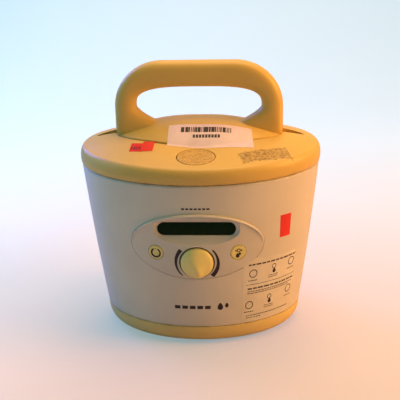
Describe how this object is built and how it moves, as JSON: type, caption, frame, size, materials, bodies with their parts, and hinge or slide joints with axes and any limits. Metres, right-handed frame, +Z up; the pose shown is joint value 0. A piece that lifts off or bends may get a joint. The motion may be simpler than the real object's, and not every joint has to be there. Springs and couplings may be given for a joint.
{
  "type": "breast pump",
  "caption": "Tabletop electric breast pump with an oval tapering housing, a hinged lid with a loop handle, a display, a vacuum knob and keys, and a rack drive for its diaphragms.",
  "frame": {"origin": "on the surface the pump stands on, midway between its front and rear extremes and its two sides", "axes": "+Z up, +X to the user's right, -Y towards the user at the control panel"},
  "size_m": [0.209, 0.1674, 0.2363],
  "materials": {
    "white_shell": "fine satin moulding, off-white",
    "yellow_shell": "fine satin moulding, warm pale yellow",
    "yellow_key": "smooth, a little glossier than the shell",
    "window": "polished dark display cover",
    "rubber": "matt",
    "silicone": "translucent matt silicone",
    "clear_cap": "smooth, slightly cloudy",
    "steel": "bright, machined",
    "acetal": "smooth natural gear plastic",
    "black_plastic": "fine grain",
    "circuit_board": "solder-masked board",
    "battery_wrap": "shrink wrap"
  },
  "bodies": {
    "housing": {"base_shell": "yellow_shell", "body_shell": "white_shell", "top_deck": "white_shell", "lid_catch": "white_shell", "hinge_pin_left": "steel", "hinge_pin_right": "steel", "control_panel": "white_shell", "display_surround": "white_shell", "display_window": "window", "display_module": "black_plastic", "power_switch": "black_plastic", "phase_switch": "black_plastic", "knob_encoder": "black_plastic", "control_board": "circuit_board", "main_board": "circuit_board", "battery_pack": "battery_wrap", "power_supply": "circuit_board", "motor": "steel", "gear_axle": "steel", "guide_rod_left": "steel", "guide_rod_right": "steel", "drive_frame": "black_plastic", "diaphragm_left": "silicone", "diaphragm_right": "silicone", "membrane_cap_left": "clear_cap", "membrane_cap_right": "clear_cap", "mains_inlet": "black_plastic", "card_reader": "black_plastic", "foot_1": "rubber", "foot_2": "rubber", "foot_3": "rubber", "foot_4": "rubber", "base_screw_1": "steel", "base_screw_2": "steel", "base_screw_3": "steel", "base_screw_4": "steel"},
    "lid": {"lid_shell": "yellow_shell", "handle": "yellow_shell", "handle_screw_1": "steel", "handle_screw_2": "steel", "handle_screw_3": "steel", "handle_screw_4": "steel"},
    "release": {"release_button": "yellow_shell"},
    "latch": {"latch_hook": "acetal"},
    "power_key": {"power_key": "yellow_key"},
    "phase_key": {"phase_key": "yellow_key"},
    "vacuum_knob": {"vacuum_knob": "yellow_key"},
    "gear": {"drive_gear": "acetal"},
    "pinion": {"motor_pinion": "steel"},
    "yoke": {"pump_yoke": "acetal"},
    "card": {"program_card": "black_plastic"}
  },
  "joints": [
    {"name": "lid_hinge", "type": "hinge", "parent": "housing", "child": "lid", "pos_m": [0, 0.08201, 0.1486], "axis": [-1, 0, 0], "range_deg": [0, 80]},
    {"name": "release_press", "type": "slide", "parent": "lid", "child": "release", "axis": [0, 0, -1], "range_m": [0, 0.002], "stiffness_N_per_m": 800, "springref_m": -0.001},
    {"name": "latch_slide", "type": "slide", "parent": "lid", "child": "latch", "axis": [0, 1, 0], "range_m": [0, 0.003]},
    {"name": "power_press", "type": "slide", "parent": "housing", "child": "power_key", "axis": [0.2739, 0.9574, 0.0914], "range_m": [0, 0.0012], "stiffness_N_per_m": 1200, "springref_m": -0.0005},
    {"name": "phase_press", "type": "slide", "parent": "housing", "child": "phase_key", "axis": [-0.2739, 0.9574, 0.0914], "range_m": [0, 0.0012], "stiffness_N_per_m": 1200, "springref_m": -0.0005},
    {"name": "vacuum_knob_turn", "type": "hinge", "parent": "housing", "child": "vacuum_knob", "pos_m": [0, -0.07393, 0.08112], "axis": [0, -0.9958, -0.0917], "continuous": true},
    {"name": "drive_gear_spin", "type": "hinge", "parent": "housing", "child": "gear", "pos_m": [0.009, 0, 0.084], "axis": [0, -1, 0], "range_deg": [0, 49]},
    {"name": "yoke_slide", "type": "slide", "parent": "housing", "child": "yoke", "axis": [0, 0, 1], "range_m": [-0.006, 0], "deforming": ["diaphragm_left", "diaphragm_right"]},
    {"name": "motor_spin", "type": "hinge", "parent": "housing", "child": "pinion", "pos_m": [0.022, 0, 0.06148], "axis": [0, -1, 0], "range_deg": [-165, 0]},
    {"name": "card_slide", "type": "slide", "parent": "housing", "child": "card", "axis": [0, 1, 0], "range_m": [0, 0.025]}
  ],
  "couplings": [
    {"joint": "latch_slide", "follows": "release_press", "ratio": 1.5},
    {"joint": "yoke_slide", "follows": "drive_gear_spin", "m_per_rad": -0.007},
    {"joint": "motor_spin", "follows": "drive_gear_spin", "ratio": -3.3333}
  ]
}
